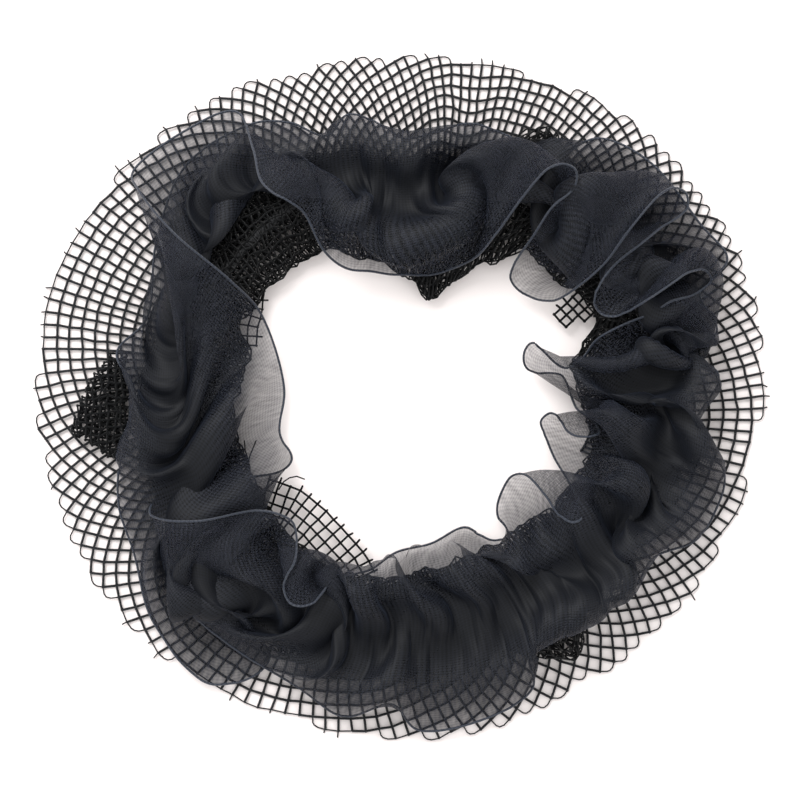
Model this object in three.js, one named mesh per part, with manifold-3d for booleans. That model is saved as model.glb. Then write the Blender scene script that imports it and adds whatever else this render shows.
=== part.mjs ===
// A ruffled net for a hair bun, lying flat: a ring of coarse netting, a round elastic, and a sheer ribbon
// gathered over it into a ruffle. Millimetres, +Z up. The surface that it lies on is z = 0.
import * as THREE from "three";
import { ConvexGeometry } from "three/addons/geometries/ConvexGeometry.js";
import { mergeVertices } from "three/addons/utils/BufferGeometryUtils.js";
import Module from "manifold-3d";

const wasm = await Module();
wasm.setup();

const clearance = 0.3; // between one piece and the next
const weld = 1e-4; // corners closer than this are one corner
const ring = { x: 3.9, y: -3.8 }; // middle of the gathered ring, a little off the middle of the netting

const skirt = {
  thickness: 1.0,
  innerRadius: 44, // ends under the ribbon
  innerBand: 4, // left whole under the ribbon
  rimBand: 1.5,
  strand: 1.7, // width of one bar between two gaps
  cell: 11.2, // from one bar to the next
  leastGap: 0.12, // share of a whole gap under which a cut one is left closed
  rimSteps: 72,
  holeSteps: 48,
};
// Radius of the netting's cut rim, every 15 degrees, anticlockwise from +X.
const skirtRim = [
  74.9, 76.0, 76.0, 75.2, 73.3, 71.1, 70.6, 70.7, 72.7, 73.6, 74.8, 75.0,
  74.9, 74.0, 73.6, 72.2, 70.5, 69.5, 70.3, 71.1, 70.3, 71.5, 72.7, 73.4,
];

const gather = {
  thickness: 1.0,
  rise: 1.0, // how far its crumples lift it
  crumples: 30,
  steps: 120,
  across: 3,
};
// The bunched netting about the ring's middle: its ragged inner edge and how far out it reaches.
const gatherEdges = [
  { angle: 4, inner: 34, outer: 54 },
  { angle: 17, inner: 33, outer: 54 },
  { angle: 30, inner: 35, outer: 55 },
  { angle: 43, inner: 38, outer: 57 },
  { angle: 57, inner: 41, outer: 60 },
  { angle: 66, inner: 35, outer: 64 },
  { angle: 75, inner: 29, outer: 55 },
  { angle: 84, inner: 24.5, outer: 52 },
  { angle: 95, inner: 29, outer: 52 },
  { angle: 106, inner: 34, outer: 54 },
  { angle: 122, inner: 40, outer: 56 },
  { angle: 140, inner: 40.5, outer: 56 },
  { angle: 150, inner: 40, outer: 54 },
  { angle: 160, inner: 35, outer: 55 },
  { angle: 168, inner: 38, outer: 60 },
  { angle: 180, inner: 38, outer: 70 },
  { angle: 188, inner: 36, outer: 59 },
  { angle: 200, inner: 36, outer: 55 },
  { angle: 210, inner: 33, outer: 57 },
  { angle: 225, inner: 28, outer: 57 },
  { angle: 243, inner: 28.5, outer: 55 },
  { angle: 257, inner: 34, outer: 53 },
  { angle: 274, inner: 31.5, outer: 52 },
  { angle: 290, inner: 30.5, outer: 50 },
  { angle: 303, inner: 30.5, outer: 58 },
  { angle: 314, inner: 31, outer: 50 },
  { angle: 328, inner: 33.5, outer: 50 },
  { angle: 343, inner: 36, outer: 52 },
  { angle: 354, inner: 36, outer: 54 },
];

const elastic = { diameter: 2.5, sides: 8, steps: 48 };
// Radius of the elastic and of the gathered line over it, and the ribbon's height on that line: low where it
// is pinched, high where the cloth rolls over it.
const seamRing = [
  { angle: 0, radius: 47, height: 8 },
  { angle: 30, radius: 51, height: 8 },
  { angle: 60, radius: 50, height: 8 },
  { angle: 90, radius: 46.5, height: 7.4 },
  { angle: 120, radius: 50, height: 10 },
  { angle: 150, radius: 49.5, height: 12 },
  { angle: 180, radius: 47, height: 13 },
  { angle: 210, radius: 52.5, height: 11 },
  { angle: 240, radius: 50, height: 9 },
  { angle: 270, radius: 44.5, height: 7.4 },
  { angle: 300, radius: 43.5, height: 8 },
  { angle: 330, radius: 46.5, height: 8 },
];

const ribbon = {
  thickness: 1.0,
  inner: { width: 29, mostBulge: 7 }, // from the gathered line to the edge that falls towards the middle
  outer: { width: 21, mostBulge: 3.5 }, // and to the edge that lies on the netting
  lean: 0.3, // how far slack cloth leans back as it bulges up
  steps: 160,
  across: 3, // facets from the gathered line to each edge
};
// The ribbon's two edges about the ring's middle, clockwise, a row for each fold. seam is the stretch of
// the gathered line that the fold takes, in degrees, and turns are its edge's bends: [angle, radius, height].
const innerFolds = [
  {
    fold: "left lobe",
    seam: [204, 154],
    turns: [
      [200, 28, 4], [186, 28.5, 3], [168, 28, 3], [147, 38, 6], [144, 47, 14], [143, 62, 18], [141, 73, 12],
    ],
  },
  {
    fold: "upper left sheer lobe",
    seam: [154, 132],
    turns: [[139, 77, 4.5], [129, 75.5, 3.5], [121, 73, 4], [121, 62, 14]],
  },
  {
    fold: "top lobe",
    seam: [132, 92],
    turns: [[121, 51, 18], [118, 38, 12], [104, 30, 6], [92, 28.5, 5], [72, 34, 9]],
  },
  {
    fold: "standing fold",
    seam: [92, 58],
    turns: [
      [65, 50, 19], [59, 60, 21], [56, 56, 18], [58, 43, 15], [52, 34, 6], [42, 35, 3],
    ],
  },
  {
    fold: "first of the pair",
    seam: [58, 32],
    turns: [
      [39, 43, 10], [42, 58, 20], [42, 70, 18], [38, 69, 14], [37, 57, 16], [34, 44, 14],
    ],
  },
  {
    fold: "second of the pair",
    seam: [32, 10],
    turns: [
      [28, 43, 12], [27, 53, 17], [26, 65, 12], [22, 64, 8], [18, 56, 9], [17, 43, 11],
    ],
  },
  {
    fold: "upper flute",
    seam: [10, -6],
    turns: [[20, 32, 9], [33, 28, 7], [28, 25, 5], [17, 28, 3], [4, 33, 4]],
  },
  {
    fold: "middle flute",
    seam: [-6, -26],
    turns: [
      [-5, 37, 10], [-4, 31, 9], [1, 26, 6], [-5, 26, 4], [-17, 29, 3], [-25, 36, 6],
    ],
  },
  {
    fold: "lower flute",
    seam: [-26, -50],
    turns: [[-34, 38, 10], [-32, 31, 9], [-31, 24, 6], [-48, 24, 3], [-53, 30, 3]],
  },
  {
    fold: "bottom lobe",
    seam: [-50, -112],
    turns: [[-61, 28, 2], [-67, 24.5, 2], [-84, 26, 2], [-99, 28, 2], [-107, 32.5, 4]],
  },
  {
    fold: "lower left fold",
    seam: [-112, -156],
    turns: [
      [-116, 35, 9], [-131, 34, 10], [-140, 33, 11], [-150, 38, 15], [-155, 50, 18],
      [-160, 58, 11], [-162, 48, 7],
    ],
  },
];
const outerFolds = [
  {
    fold: "left side",
    seam: [200, 160],
    turns: [[195, 63.5, 4], [187, 61, 5], [174, 58.5, 6], [168, 63, 4], [160, 59, 3]],
  },
  {
    fold: "under the sheer lobe",
    seam: [160, 122],
    turns: [[147, 62, 2.5], [133, 67, 2.5], [120, 67, 3]],
  },
  {
    fold: "top left lobe",
    seam: [122, 108],
    turns: [[114, 66, 3.5], [108, 60.5, 5]],
  },
  {
    fold: "top lobe",
    seam: [108, 94],
    turns: [[103, 63.5, 3], [97, 60, 4]],
  },
  {
    fold: "two small lobes",
    seam: [94, 72],
    turns: [[93, 57, 5], [86, 58.5, 4], [80, 61, 3], [73, 60.5, 3]],
  },
  {
    fold: "upper right sheer lobe",
    seam: [72, 28],
    turns: [[63, 60, 5], [57, 68, 3], [48, 70.5, 3], [34, 70, 3], [27, 71, 3]],
  },
  {
    fold: "right curls",
    seam: [28, 12],
    turns: [[24, 63, 4], [16, 63.5, 4], [13, 56, 6]],
  },
  {
    fold: "right lobe",
    seam: [12, -6],
    turns: [[8, 62, 3], [-5, 55.5, 4]],
  },
  {
    fold: "lower right lobe",
    seam: [-6, -32],
    turns: [[-10, 63.5, 3], [-23, 62.5, 3], [-31, 56, 5]],
  },
  {
    fold: "lower right side",
    seam: [-32, -66],
    turns: [[-38, 56, 4], [-56, 51, 4], [-65, 54, 5]],
  },
  {
    fold: "bottom lobe",
    seam: [-66, -96],
    turns: [[-67, 60, 3], [-76, 63, 3], [-90, 64, 3]],
  },
  {
    fold: "bottom pleat",
    seam: [-96, -108],
    turns: [[-95, 59, 5], [-104, 63, 3]],
  },
  {
    fold: "lower left inner lobe",
    seam: [-108, -140],
    turns: [[-114, 60.5, 3], [-131, 60.5, 6], [-142, 61, 8], [-152, 58, 9]],
  },
  {
    fold: "lower left sheer lobe",
    seam: [-140, -160],
    turns: [[-143, 64, 5], [-129, 69, 2.5], [-142, 68.5, 2], [-154, 64.5, 2.5]],
  },
];

const colours = { netting: 0x15171a, elastic: 0x17181c, organza: 0x262b34 };

const radians = THREE.MathUtils.degToRad;

// A point about the ring's middle, from an angle in degrees, a radius and a height.
function polar(angle, radius, height) {
  return new THREE.Vector3(
    ring.x + radius * Math.cos(radians(angle)),
    ring.y + radius * Math.sin(radians(angle)),
    height,
  );
}

// A smooth closed curve through the points, read at a place given in points and parts of a point.
function closedCurve(points) {
  const curve = new THREE.CatmullRomCurve3(points, true, "centripetal");
  return (place) => curve.getPoint(THREE.MathUtils.euclideanModulo(place / points.length, 1));
}

// The value of a column at any angle, from rows in order of angle, smoothed between the rows.
function columnAt(rows, column, angle) {
  const turn = THREE.MathUtils.euclideanModulo(angle - rows[0].angle, 360);
  const after = rows.findIndex((row) => row.angle - rows[0].angle > turn);
  const next = after < 0 ? 0 : after;
  const last = (next + rows.length - 1) % rows.length;
  const from = rows[last].angle - rows[0].angle;
  const to = next === 0 ? 360 : rows[next].angle - rows[0].angle;
  const share = THREE.MathUtils.smoothstep(turn, from, to);
  return THREE.MathUtils.lerp(rows[last][column], rows[next][column], share);
}

// A closed body from a grid of points: rows run round the ring, columns round the wall's section, and each
// four points are split along their shorter diagonal.
function closedBand(sections) {
  const count = sections.length;
  const width = sections[0].length;
  const points = sections.flat();
  const index = [];
  for (let i = 0; i < count; i += 1) {
    for (let j = 0; j < width; j += 1) {
      const a = i * width + j;
      const b = i * width + ((j + 1) % width);
      const c = ((i + 1) % count) * width + ((j + 1) % width);
      const d = ((i + 1) % count) * width + j;
      const straight = points[a].distanceTo(points[c]) <= points[b].distanceTo(points[d]);
      index.push(...(straight ? [a, b, c, a, c, d] : [a, b, d, b, c, d]));
    }
  }
  const positions = points.flatMap((point) => point.toArray());
  const geometry = new THREE.BufferGeometry();
  geometry.setAttribute("position", new THREE.Float32BufferAttribute(positions, 3));
  geometry.setIndex(index);
  return geometry;
}

// A three.js shape as a solid for joining and cutting.
function solidOf(geometry) {
  const bare = geometry.clone();
  bare.deleteAttribute("normal");
  bare.deleteAttribute("uv");
  const merged = mergeVertices(bare, weld);
  return new wasm.Manifold(
    new wasm.Mesh({
      numProp: 3,
      vertProperties: new Float32Array(merged.attributes.position.array),
      triVerts: new Uint32Array(merged.index.array),
    }),
  );
}

// The faces of a solid as a three.js shape.
function geometryOf(solid) {
  const mesh = solid.getMesh();
  const geometry = new THREE.BufferGeometry();
  geometry.setAttribute("position", new THREE.BufferAttribute(mesh.vertProperties, 3));
  geometry.setIndex(new THREE.BufferAttribute(mesh.triVerts, 1));
  return geometry;
}

// The netting's rim, drawn in by a margin, as points in plan.
function rimOutline(margin) {
  const step = 360 / skirtRim.length;
  const corners = skirtRim.map((radius, i) => new THREE.Vector3(
    (radius - margin) * Math.cos(radians(i * step)),
    (radius - margin) * Math.sin(radians(i * step)),
    0,
  ));
  const curve = new THREE.CatmullRomCurve3(corners, true, "centripetal");
  return curve.getPoints(skirt.rimSteps).slice(0, -1);
}

// A flat ring between the rim and a circle about the ring's middle.
function flatRing(margin, innerRadius, thickness) {
  const outline = new THREE.Shape(rimOutline(margin).map((p) => new THREE.Vector2(p.x, p.y)));
  const hole = new THREE.Path();
  hole.absarc(ring.x, ring.y, innerRadius, 0, 2 * Math.PI, true);
  outline.holes.push(hole);
  return new THREE.ExtrudeGeometry(outline, {
    depth: thickness,
    bevelEnabled: false,
    curveSegments: skirt.holeSteps,
  });
}

// The coarse netting: a flat ring with square gaps cut through it, clear of its rim.
function netSkirt() {
  const depth = 3 * skirt.thickness; // a cut starts one thickness below the ring and ends one above it
  const side = skirt.cell - skirt.strand;
  const reach = Math.ceil(Math.max(...skirtRim) / skirt.cell);
  const open = solidOf(flatRing(skirt.rimBand, skirt.innerRadius + skirt.innerBand, depth));
  let body = solidOf(flatRing(0, skirt.innerRadius, skirt.thickness));
  for (let i = -reach; i < reach; i += 1) {
    for (let j = -reach; j < reach; j += 1) {
      const gap = new THREE.BoxGeometry(side, side, 2 * depth);
      gap.translate((i + 0.5) * skirt.cell, (j + 0.5) * skirt.cell, 0);
      const cut = solidOf(gap).intersect(open);
      if (cut.volume() > skirt.leastGap * side * side * depth) {
        body = body.subtract(cut.translate([0, 0, -skirt.thickness]));
      }
    }
  }
  return geometryOf(body);
}

// The bunched netting: a low wall that waves up and down between its two ragged edges.
function netGather() {
  const sections = [];
  for (let i = 0; i < gather.steps; i += 1) {
    const angle = (360 * i) / gather.steps;
    const inner = columnAt(gatherEdges, "inner", angle);
    const outer = columnAt(gatherEdges, "outer", angle);
    const wave = 0.5 + 0.5 * Math.cos(radians(gather.crumples * angle));
    const under = [];
    const over = [];
    for (let j = 0; j <= gather.across; j += 1) {
      const share = j / gather.across;
      const height = skirt.thickness + clearance + gather.rise * wave * Math.sin(Math.PI * share);
      const radius = THREE.MathUtils.lerp(inner, outer, share);
      under.push(polar(angle, radius, height));
      over.push(polar(angle, radius, height + gather.thickness));
    }
    sections.push([...over, ...under.reverse()]);
  }
  return closedBand(sections);
}

// The round elastic along the gathered line.
function elasticBand() {
  const height = skirt.thickness + gather.rise + gather.thickness + 2 * clearance + elastic.diameter / 2;
  const sections = [];
  for (let i = 0; i < elastic.steps; i += 1) {
    const angle = (360 * i) / elastic.steps;
    const middle = columnAt(seamRing, "radius", angle);
    const section = [];
    for (let j = 0; j < elastic.sides; j += 1) {
      const around = (2 * Math.PI * j) / elastic.sides;
      const radius = middle + 0.5 * elastic.diameter * Math.cos(around);
      section.push(polar(angle, radius, height + 0.5 * elastic.diameter * Math.sin(around)));
    }
    sections.push(section.reverse());
  }
  return closedBand(sections);
}

// The seam angle of each turn of an edge: a fold spreads its stretch of the seam over its edge's length.
function turnsOf(folds) {
  const points = folds.map(({ turns }) => turns.map((turn) => polar(...turn)));
  return folds.flatMap(({ seam: [from, to] }, k) => {
    const run = [...points[k], points[(k + 1) % folds.length][0]];
    const gone = [0];
    for (let i = 1; i < run.length; i += 1) gone.push(gone[i - 1] + run[i].distanceTo(run[i - 1]));
    const whole = gone[run.length - 1];
    return points[k].map((point, i) => ({ seam: THREE.MathUtils.lerp(from, to, gone[i] / whole), point }));
  });
}

// An edge of the ribbon, read by seam angle.
function edgeOf(folds) {
  const turns = turnsOf(folds);
  const curve = closedCurve(turns.map((turn) => turn.point));
  const first = turns[0].seam;
  return (seam) => {
    const gone = THREE.MathUtils.euclideanModulo(first - seam, 360);
    const after = turns.findIndex((turn) => first - turn.seam > gone);
    const next = after < 0 ? turns.length : after;
    const from = first - turns[next - 1].seam;
    const to = next === turns.length ? 360 : first - turns[next].seam;
    return curve(next - 1 + (gone - from) / (to - from));
  };
}

// Half-way from the gathered line to an edge, lifted square to that line so that the cloth keeps its width.
function middleOf(seamPoint, edgePoint, { width, mostBulge }, outward) {
  const chord = edgePoint.clone().sub(seamPoint);
  const length = chord.length();
  const slack = Math.max(width / length - 1, 0);
  const bulge = Math.min(length * Math.sqrt((3 / 8) * slack), mostBulge);
  const along = chord.clone().divideScalar(length);
  const lift = new THREE.Vector3(0, 0, 1).addScaledVector(outward, ribbon.lean);
  lift.addScaledVector(along, -lift.dot(along));
  return seamPoint.clone().addScaledVector(chord, 0.5).addScaledVector(lift, bulge);
}

// The gathered ribbon: a wall from one edge over the gathered line to the other, all the way round.
function ribbonRuffle() {
  const innerEdge = edgeOf(innerFolds);
  const outerEdge = edgeOf(outerFolds);
  const surface = [];
  for (let i = 0; i < ribbon.steps; i += 1) {
    const seam = (-360 * i) / ribbon.steps;
    const radius = columnAt(seamRing, "radius", seam);
    const line = polar(seam, radius, columnAt(seamRing, "height", seam));
    const outward = new THREE.Vector3(Math.cos(radians(seam)), Math.sin(radians(seam)), 0);
    const inner = innerEdge(seam);
    const outer = outerEdge(seam);
    const section = new THREE.CatmullRomCurve3([
      outer,
      middleOf(line, outer, ribbon.outer, outward),
      line,
      middleOf(line, inner, ribbon.inner, outward.clone().negate()),
      inner,
    ], false, "centripetal");
    surface.push(section.getPoints(2 * ribbon.across));
  }
  return wallOf(surface, ribbon.thickness);
}

// A sheet given by rows of points as pairs of points, half a thickness to either side of it.
function thickened(surface, thickness) {
  const count = surface.length;
  return surface.map((row, i) => row.map((point, j) => {
    const round = surface[(i + 1) % count][j].clone().sub(surface[(i + count - 1) % count][j]);
    const across = row[Math.min(j + 1, row.length - 1)].clone().sub(row[Math.max(j - 1, 0)]);
    const normal = round.cross(across).normalize();
    return [thickness / 2, -thickness / 2].map((side) => point.clone().addScaledVector(normal, side));
  }));
}

// A sheet as a solid wall: the convex body round each cell's four pairs of points, all of them joined.
function wallOf(surface, thickness) {
  const pairs = thickened(surface, thickness);
  const cells = pairs.flatMap((row, i) => {
    const next = pairs[(i + 1) % pairs.length];
    return row.slice(1).map((pair, j) => {
      const corners = [row[j], pair, next[j], next[j + 1]].flat();
      return solidOf(new ConvexGeometry(corners));
    });
  });
  return geometryOf(wasm.Manifold.union(cells));
}

// One named piece with its own material.
function piece(name, geometry, color, roughness) {
  geometry.computeVertexNormals();
  const mesh = new THREE.Mesh(geometry, new THREE.MeshStandardMaterial({ color, roughness, metalness: 0 }));
  mesh.name = name;
  return mesh;
}

const bunNet = new THREE.Group();
bunNet.add(
  piece("net_skirt", netSkirt(), colours.netting, 0.7),
  piece("net_gather", netGather(), colours.netting, 0.8),
  piece("elastic_band", elasticBand(), colours.elastic, 0.7),
  piece("ribbon_ruffle", ribbonRuffle(), colours.organza, 0.5),
);

export default bunNet;
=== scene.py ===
import bpy
import numpy as np
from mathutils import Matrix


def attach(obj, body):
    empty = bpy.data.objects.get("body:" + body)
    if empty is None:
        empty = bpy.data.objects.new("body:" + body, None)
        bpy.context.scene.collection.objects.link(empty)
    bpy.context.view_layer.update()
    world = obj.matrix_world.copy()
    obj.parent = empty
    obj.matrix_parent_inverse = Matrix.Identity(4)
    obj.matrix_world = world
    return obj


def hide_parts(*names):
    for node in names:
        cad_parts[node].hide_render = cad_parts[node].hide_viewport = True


# A ruffled net for a hair bun, lying flat and seen from straight above. Shapes are worked out in millimetres
# in the frame's own axes, and become metres as each mesh is made.
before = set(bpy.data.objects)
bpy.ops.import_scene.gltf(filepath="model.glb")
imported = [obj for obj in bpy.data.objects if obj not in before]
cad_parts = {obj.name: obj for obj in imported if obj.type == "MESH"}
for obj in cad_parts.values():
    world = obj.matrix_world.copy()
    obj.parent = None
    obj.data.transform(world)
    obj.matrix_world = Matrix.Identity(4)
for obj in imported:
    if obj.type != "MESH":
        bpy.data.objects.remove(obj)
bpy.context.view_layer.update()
mm = 0.001
ringX, ringY = 3.9, -3.8  # middle of the gathered ring
print("frame:", ", ".join(sorted(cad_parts)))

# The camera: straight above, far enough away that the ruffle's sides hardly show. All in millimetres.
cameraView = {"x": 0.2, "y": -0.3, "height": 2000.0, "shows": 163.92, "sensor": 36.0}


def makeCamera():
    # The lens is the sensor times the distance over the width shown on the floor.
    data = bpy.data.cameras.new("camera")
    data.sensor_width = cameraView["sensor"]
    data.lens = cameraView["sensor"] * cameraView["height"] / cameraView["shows"]
    camera = bpy.data.objects.new("camera", data)
    camera.location = (cameraView["x"] * mm, cameraView["y"] * mm, cameraView["height"] * mm)
    bpy.context.scene.collection.objects.link(camera)
    bpy.context.scene.camera = camera


makeCamera()
print("camera made")


def linearColour(code):
    # A channel c of an sRGB hex code is c / 12.92 near black and ((c + 0.055) / 1.055) ^ 2.4 above it.
    channels = [int(code[i:i + 2], 16) / 255 for i in (1, 3, 5)]
    return [c / 12.92 if c <= 0.04045 else ((c + 0.055) / 1.055) ** 2.4 for c in channels] + [1.0]


def addNode(material, kind, settings=(), links=()):
    # Adds one node, sets its values and options, and links its inputs from other nodes' outputs.
    node = material.node_tree.nodes.new(kind)
    for key, value in dict(settings).items():
        if isinstance(key, int) or key in node.inputs:
            node.inputs[key].default_value = value
        else:
            setattr(node, key, value)
    for key, output in dict(links).items():
        material.node_tree.links.new(output, node.inputs[key])
    return node


def maths(material, operation, *values, clamp=False):
    # Adds one Math node, whose inputs are numbers or other nodes' outputs, and gives its own output.
    node = addNode(material, "ShaderNodeMath", {"operation": operation, "use_clamp": clamp})
    for socket, value in zip(node.inputs, values):
        if isinstance(value, (int, float)):
            socket.default_value = value
        else:
            material.node_tree.links.new(value, socket)
    return node.outputs[0]


def newMaterial(name, settings):
    # A material with its Principled shader, whose plain values are set on the shader itself.
    material = bpy.data.materials.new(name)
    material.use_nodes = True
    shader = material.node_tree.nodes["Principled BSDF"]
    for key, value in settings.items():
        shader.inputs[key].default_value = value
    return material, shader


def addNoise(material, scale, detail):
    # Noise over the piece's own places, and its output. The scale is in blots a metre.
    place = addNode(material, "ShaderNodeTexCoord")
    noise = addNode(material, "ShaderNodeTexNoise", {"Scale": scale, "Detail": detail},
                    {"Vector": place.outputs["Object"]})
    return noise.outputs[0]


def clothPlace(material):
    # The place in the flat cloth, and its numbers along and across.
    cloth = addNode(material, "ShaderNodeUVMap", {"uv_map": "cloth"})
    axes = addNode(material, "ShaderNodeSeparateXYZ", links={0: cloth.outputs[0]})
    return cloth.outputs[0], axes.outputs[0], axes.outputs[1]


def addColours(material, shader, dark, light, share):
    # The base colour goes from dark to light with a share from 0 to 1.
    shade = addNode(material, "ShaderNodeMix", {
        "data_type": "RGBA", 6: linearColour(dark), 7: linearColour(light)}, {0: share})
    material.node_tree.links.new(shade.outputs[2], shader.inputs["Base Color"])


def addRelief(material, shader, strength, depth, height):
    # Relief as deep in millimetres as depth says, which follows another node's output.
    bump = addNode(material, "ShaderNodeBump", {"Strength": strength, "Distance": depth * mm},
                   {"Height": height})
    material.node_tree.links.new(bump.outputs[0], shader.inputs["Normal"])


def makePiece(name, points, faces, material, uv=None):
    # A mesh from points in millimetres and faces of four or three corners. uv holds each point's place in
    # the flat cloth, for its pattern.
    mesh = bpy.data.meshes.new(name)
    mesh.from_pydata((points * mm).tolist(), [], faces.tolist())
    if uv is not None:
        corners = np.empty(len(mesh.loops), np.int32)
        mesh.loops.foreach_get("vertex_index", corners)
        mesh.uv_layers.new(name="cloth").data.foreach_set("uv", uv[corners].astype(np.float32).ravel())
    mesh.shade_smooth()
    mesh.materials.append(material)
    mesh.validate()
    piece = bpy.data.objects.new(name, mesh)
    bpy.context.scene.collection.objects.link(piece)
    print(name, "triangles:", len(mesh.loops) - 2 * len(mesh.polygons))
    return piece


def table(columns, *rows):
    # A table's rows, each with its values under the columns' names.
    return [dict(zip(columns.split(), row)) for row in rows]


def unit(vectors):
    # The same directions, each divided by its length.
    return vectors / np.maximum(np.linalg.norm(vectors, axis=-1, keepdims=True), 1e-9)


def goneAlong(path):
    # How far along a path each of its points is: the running sum of the steps' lengths.
    return np.concatenate([[0], np.cumsum(np.linalg.norm(np.diff(path, axis=0), axis=1))])


def circled(angle, radius):
    # x and y from degrees and a radius.
    turn = np.radians(angle)
    return np.stack([radius * np.cos(turn), radius * np.sin(turn)], -1)


def polar(angle, radius, height):
    # A point about the ring's middle, from degrees, a radius and a height.
    x, y = np.moveaxis(circled(angle, radius), -1, 0)
    return np.stack([ringX + x, ringY + y, height + 0 * x], -1)


def columnAt(rows, column, angle):
    # A column's value at any angle, all the way round: from each row to the next it takes an S-shaped step,
    # the share of the way squared, times three less twice the share.
    start = rows[0]["angle"]
    turns = np.array([row["angle"] - start for row in rows] + [360.0])
    values = np.array([row[column] for row in rows] + [rows[0][column]], float)
    turn = np.mod(np.asarray(angle, float) - start, 360)
    last = np.clip(np.searchsorted(turns, turn, side="right") - 1, 0, len(rows) - 1)
    share = (turn - turns[last]) / (turns[last + 1] - turns[last])
    return values[last] + (values[last + 1] - values[last]) * share * share * (3 - 2 * share)


def bend(before, start, end, after, share):
    # The cubic from start to end whose end slopes come from the neighbours, each gap counting by the
    # square root of its length.
    gaps = [np.maximum(np.linalg.norm(b - a, axis=-1, keepdims=True), 1e-6) ** 0.5
            for a, b in ((before, start), (start, end), (end, after))]
    slopeOut = (start - before) / gaps[0] - (end - before) / (gaps[0] + gaps[1]) + (end - start) / gaps[1]
    slopeIn = (end - start) / gaps[1] - (after - start) / (gaps[1] + gaps[2]) + (after - end) / gaps[2]
    slopeOut, slopeIn = slopeOut * gaps[1], slopeIn * gaps[1]
    square, cube = share ** 2, share ** 3
    return ((2 * cube - 3 * square + 1) * start + (cube - 2 * square + share) * slopeOut
            + (3 * square - 2 * cube) * end + (cube - square) * slopeIn)


def ripple(places, waves, seed):
    # A smooth random wave, once round for places from 0 to 1: cosines of the given counts, each with its
    # own start and divided by the root of its number in the list, and their sum by the root of how many.
    starts = np.random.default_rng(seed).uniform(0, 2 * np.pi, len(waves))
    parts = [np.cos(2 * np.pi * count * places + start) / number ** 0.5
             for number, (count, start) in enumerate(zip(waves, starts), 1)]
    return sum(parts) / len(waves) ** 0.5


# Knotted netting. A square mesh with a round hole is turned inside out over the ring, so its hole becomes
# the rim, and its threads turn against the rim all the way round.
netting = {
    "pitch": 2.5, "thread": 0.28, "rimThread": 0.16, "knot": 0.38, "rimKnot": 0.22, "knotHeight": 0.75,
    "sides": 5, "depth": 30.0, "height": 0.5, "wave": 0.15, "waveSpread": 0.5, "wobble": 0.09, "seed": 7,
    "over": 0.3, "beside": 0.5,  # how far past the rim's line a crossing may stand, in pitches
    "walk": 2881, "walkEven": 121,  # places on the rim's line, and how many of them share a turn
    "waveFade": 9.0, "longest": 2.2,  # the depth over which the waves grow, and the longest thread in pitches
    "rimBand": 0.4, "fineBand": 0.55,  # how deep the rim's knots and its fine threads go, in pitches
    "corner": 0.4, "cornerRound": 0.13,  # the share of each thread that a corner's curve takes, and its cut
    "stubs": 0.6, "stubLength": (0.4, 1.3), "stubSpread": 0.25, "stubFlat": [1, 1, 0.3],
}
# Radius of the rim from the frame's origin, every 15 degrees from +X.
rimRadii = [74.9, 76.0, 76.0, 75.2, 73.3, 71.1, 70.6, 70.7, 72.7, 73.6, 74.8, 75.0,
            74.9, 74.0, 73.6, 72.2, 70.5, 69.5, 70.3, 71.1, 70.3, 71.5, 72.7, 73.4]
rimRows = [{"angle": 15 * k, "radius": radius} for k, radius in enumerate(rimRadii)]
# Where the rim's line points in the mesh at a place on the rim, in degrees.
meshTurns = table(
    "angle mesh",
    (-200, 534), (-178, 514), (-168, 502), (-150, 480), (-129, 460), (-108, 443), (-79, 432), (-57, 411),
    (-31, 390), (-15, 374), (0, 361), (20, 338), (36, 318), (53, 286), (65, 268), (78, 257), (98, 232),
    (115, 211), (128, 192), (143, 179), (160, 174))
# How far the inner rows are pushed outwards, in millimetres, and how far apart the rows lie, as a share of
# the mesh's own pitch.
rowWaves = table(
    "angle push",
    (62, 0), (71, 0.7), (76, -0.8), (82, 1.4), (91, -0.3), (100, 0), (250, 0), (264, 0.6), (276, -0.4),
    (290, 0))
rowGaps = table(
    "angle gap",
    (0, 1.17), (45, 1.0), (90, 0.92), (140, 1.04), (180, 1.06), (220, 1.06), (270, 1.1), (320, 1.1))


def circlesRound(along, side, sides):
    # Circles of radius one, square to their directions: the cosines of even turns along the side, and the
    # sines along the third direction.
    turn = 2 * np.pi * np.arange(sides)[:, None] / sides
    return side[:, None] * np.cos(turn) + np.cross(along, side)[:, None] * np.sin(turn)


def repeated(points, one):
    # One body many times over, a row of points for each, as one list of points and faces.
    faces = one[None] + (np.arange(len(points)) * points.shape[1])[:, None, None]
    return points.reshape(-1, 3), faces.reshape(-1, 3)


def rods(starts, ends, radii, sides, pointed):
    # Straight closed rods between pairs of points: two rings of corners, with a point or a flat at each end.
    radii = np.broadcast_to(radii, len(starts))[:, None, None]
    along = unit(ends - starts)
    upright = np.abs(along[:, 2:]) > 0.9
    side = unit(np.cross(along, np.where(upright, [1.0, 0, 0], [0, 0, 1.0])))
    circle = circlesRound(along, side, sides) * radii
    points = [starts[:, None] + circle, ends[:, None] + circle]
    j = np.arange(sides)
    k = (j + 1) % sides
    faces = [np.stack([j, k, k + sides], 1), np.stack([j, k + sides, j + sides], 1)]
    if pointed:
        tip = along[:, None] * radii
        points += [starts[:, None] - tip, ends[:, None] + tip]
        faces += [np.stack([k, j, np.full(sides, 2 * sides)], 1),
                  np.stack([j + sides, k + sides, np.full(sides, 2 * sides + 1)], 1)]
    else:
        fan = np.stack([np.zeros(sides - 2, int), j[1:-1], j[2:]], 1)
        faces += [fan[:, ::-1], fan + sides]
    return repeated(np.concatenate(points, 1), np.concatenate(faces))


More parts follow.
